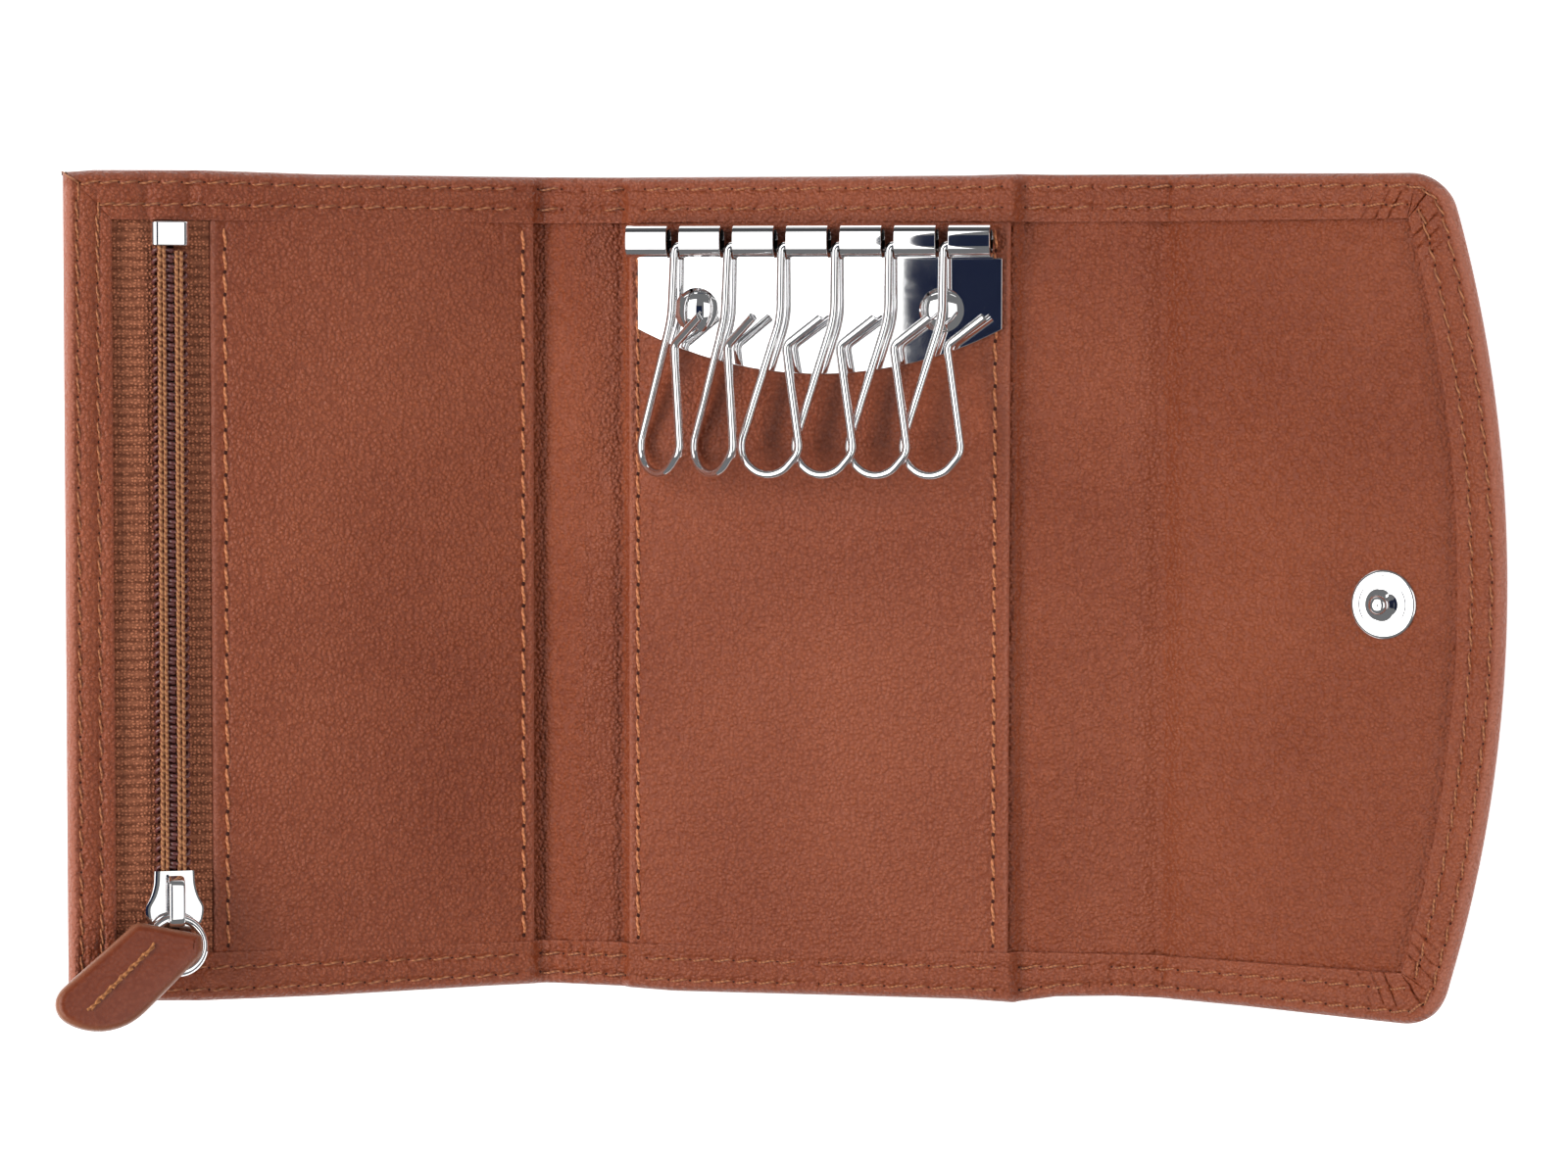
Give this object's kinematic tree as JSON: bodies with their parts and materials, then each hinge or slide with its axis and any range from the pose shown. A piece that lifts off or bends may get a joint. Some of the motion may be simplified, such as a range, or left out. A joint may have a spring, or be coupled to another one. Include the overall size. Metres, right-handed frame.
{
  "type": "key case",
  "caption": "Leather case that folds in three, with a zipped coin pocket, spring key hooks on a rolled plate and a flap with a press stud.",
  "frame": {"origin": "middle of the centre panel, on its outer face, which lies on the table", "axes": "+X across the open case towards the flap, +Y along the folds towards the barrels of the key row, +Z out of the inside"},
  "size_m": [0.1886, 0.1146, 0.0376],
  "materials": {
    "leather": "fine grain, soft sheen",
    "lining": "fine grain, matt",
    "pull_leather": "smooth, with painted edges",
    "card": "grey fibre card",
    "cloth": "thin woven cloth",
    "tape": "herringbone woven tape",
    "coil": "moulded coil",
    "bright_metal": "polished plating"
  },
  "bodies": {
    "centre": {"cover_centre": "leather", "lining_centre": "lining", "board_centre": "card", "centre_pocket_panel": "leather", "key_plate": "bright_metal", "key_plate_rivets": "bright_metal", "rivet_washers": "bright_metal"},
    "spine_1": {"cover_spine_1": "leather", "lining_spine_1": "lining"},
    "left_panel": {"cover_left": "leather", "board_left": "card", "left_pocket_panel": "leather", "zip_pocket_bag": "cloth", "zip_tape_left": "tape", "zip_tape_right": "tape", "zip_coil_left": "coil", "zip_coil_right": "coil", "zip_bottom_stop": "bright_metal", "zip_top_stops": "bright_metal", "snap_socket": "bright_metal", "socket_spring": "bright_metal", "socket_post": "bright_metal"},
    "spine_2": {"cover_spine_2": "leather", "lining_spine_2": "lining"},
    "flap": {"cover_flap": "leather", "board_flap": "card", "lining_flap": "lining", "snap_stud": "bright_metal", "stud_cap": "bright_metal"},
    "slider": {"slider_body": "bright_metal"},
    "pull_ring": {"pull_ring": "bright_metal"},
    "pull_tab": {"pull_tab": "pull_leather", "pull_tab_filler": "card"},
    "hook_1": {"key_hook_1": "bright_metal"},
    "hook_2": {"key_hook_2": "bright_metal"},
    "hook_3": {"key_hook_3": "bright_metal"},
    "hook_4": {"key_hook_4": "bright_metal"},
    "hook_5": {"key_hook_5": "bright_metal"},
    "hook_6": {"key_hook_6": "bright_metal"}
  },
  "joints": [
    {"name": "fold_1a", "type": "hinge", "parent": "centre", "child": "spine_1", "pos_m": [-0.0265, 0, 0.0035], "axis": [0, -1, 0], "range_deg": [-66, 0]},
    {"name": "fold_1b", "type": "hinge", "parent": "spine_1", "child": "left_panel", "pos_m": [-0.0388, 0, 0.0035], "axis": [0, -1, 0], "range_deg": [-89, 25]},
    {"name": "fold_2a", "type": "hinge", "parent": "centre", "child": "spine_2", "pos_m": [0.0265, 0, 0.0035], "axis": [0, 1, 0], "range_deg": [-61.38, 0]},
    {"name": "fold_2b", "type": "hinge", "parent": "spine_2", "child": "flap", "pos_m": [0.0464, 0, 0.0026], "axis": [0, 1, 0], "range_deg": [-99.62, 19]},
    {"name": "zip_slide", "type": "slide", "parent": "left_panel", "child": "slider", "axis": [0, 1, 0], "range_m": [0, 0.0825], "deforming": ["zip_coil_left", "zip_coil_right"]},
    {"name": "ring_lift", "type": "hinge", "parent": "slider", "child": "pull_ring", "pos_m": [-0.08235, -0.04364, 0.02736], "axis": [-0.9063, 0, 0.4226], "range_deg": [-10, 90]},
    {"name": "tab_swivel", "type": "hinge", "parent": "pull_ring", "child": "pull_tab", "pos_m": [-0.08198, -0.04713, 0.02815], "axis": [-0.4101, -0.2419, -0.8794], "range_deg": [-45, 15]},
    {"name": "hook_1_lift", "type": "hinge", "parent": "centre", "child": "hook_1", "pos_m": [-0.01932, 0.0457, 0.00585], "axis": [-1, 0, 0], "range_deg": [0, 140]},
    {"name": "hook_2_lift", "type": "hinge", "parent": "centre", "child": "hook_2", "pos_m": [-0.01208, 0.0457, 0.00585], "axis": [-1, 0, 0], "range_deg": [0, 140]},
    {"name": "hook_3_lift", "type": "hinge", "parent": "centre", "child": "hook_3", "pos_m": [-0.00483, 0.0457, 0.00585], "axis": [-1, 0, 0], "range_deg": [0, 140]},
    {"name": "hook_4_lift", "type": "hinge", "parent": "centre", "child": "hook_4", "pos_m": [0.00243, 0.0457, 0.00585], "axis": [-1, 0, 0], "range_deg": [0, 140]},
    {"name": "hook_5_lift", "type": "hinge", "parent": "centre", "child": "hook_5", "pos_m": [0.00967, 0.0457, 0.00585], "axis": [-1, 0, 0], "range_deg": [0, 140]},
    {"name": "hook_6_lift", "type": "hinge", "parent": "centre", "child": "hook_6", "pos_m": [0.01692, 0.0457, 0.00585], "axis": [-1, 0, 0], "range_deg": [0, 140]}
  ],
  "couplings": [
    {"joint": "hook_3_lift", "follows": "hook_6_lift", "ratio": 1},
    {"joint": "hook_4_lift", "follows": "hook_6_lift", "ratio": 1},
    {"joint": "hook_5_lift", "follows": "hook_6_lift", "ratio": 1}
  ]
}
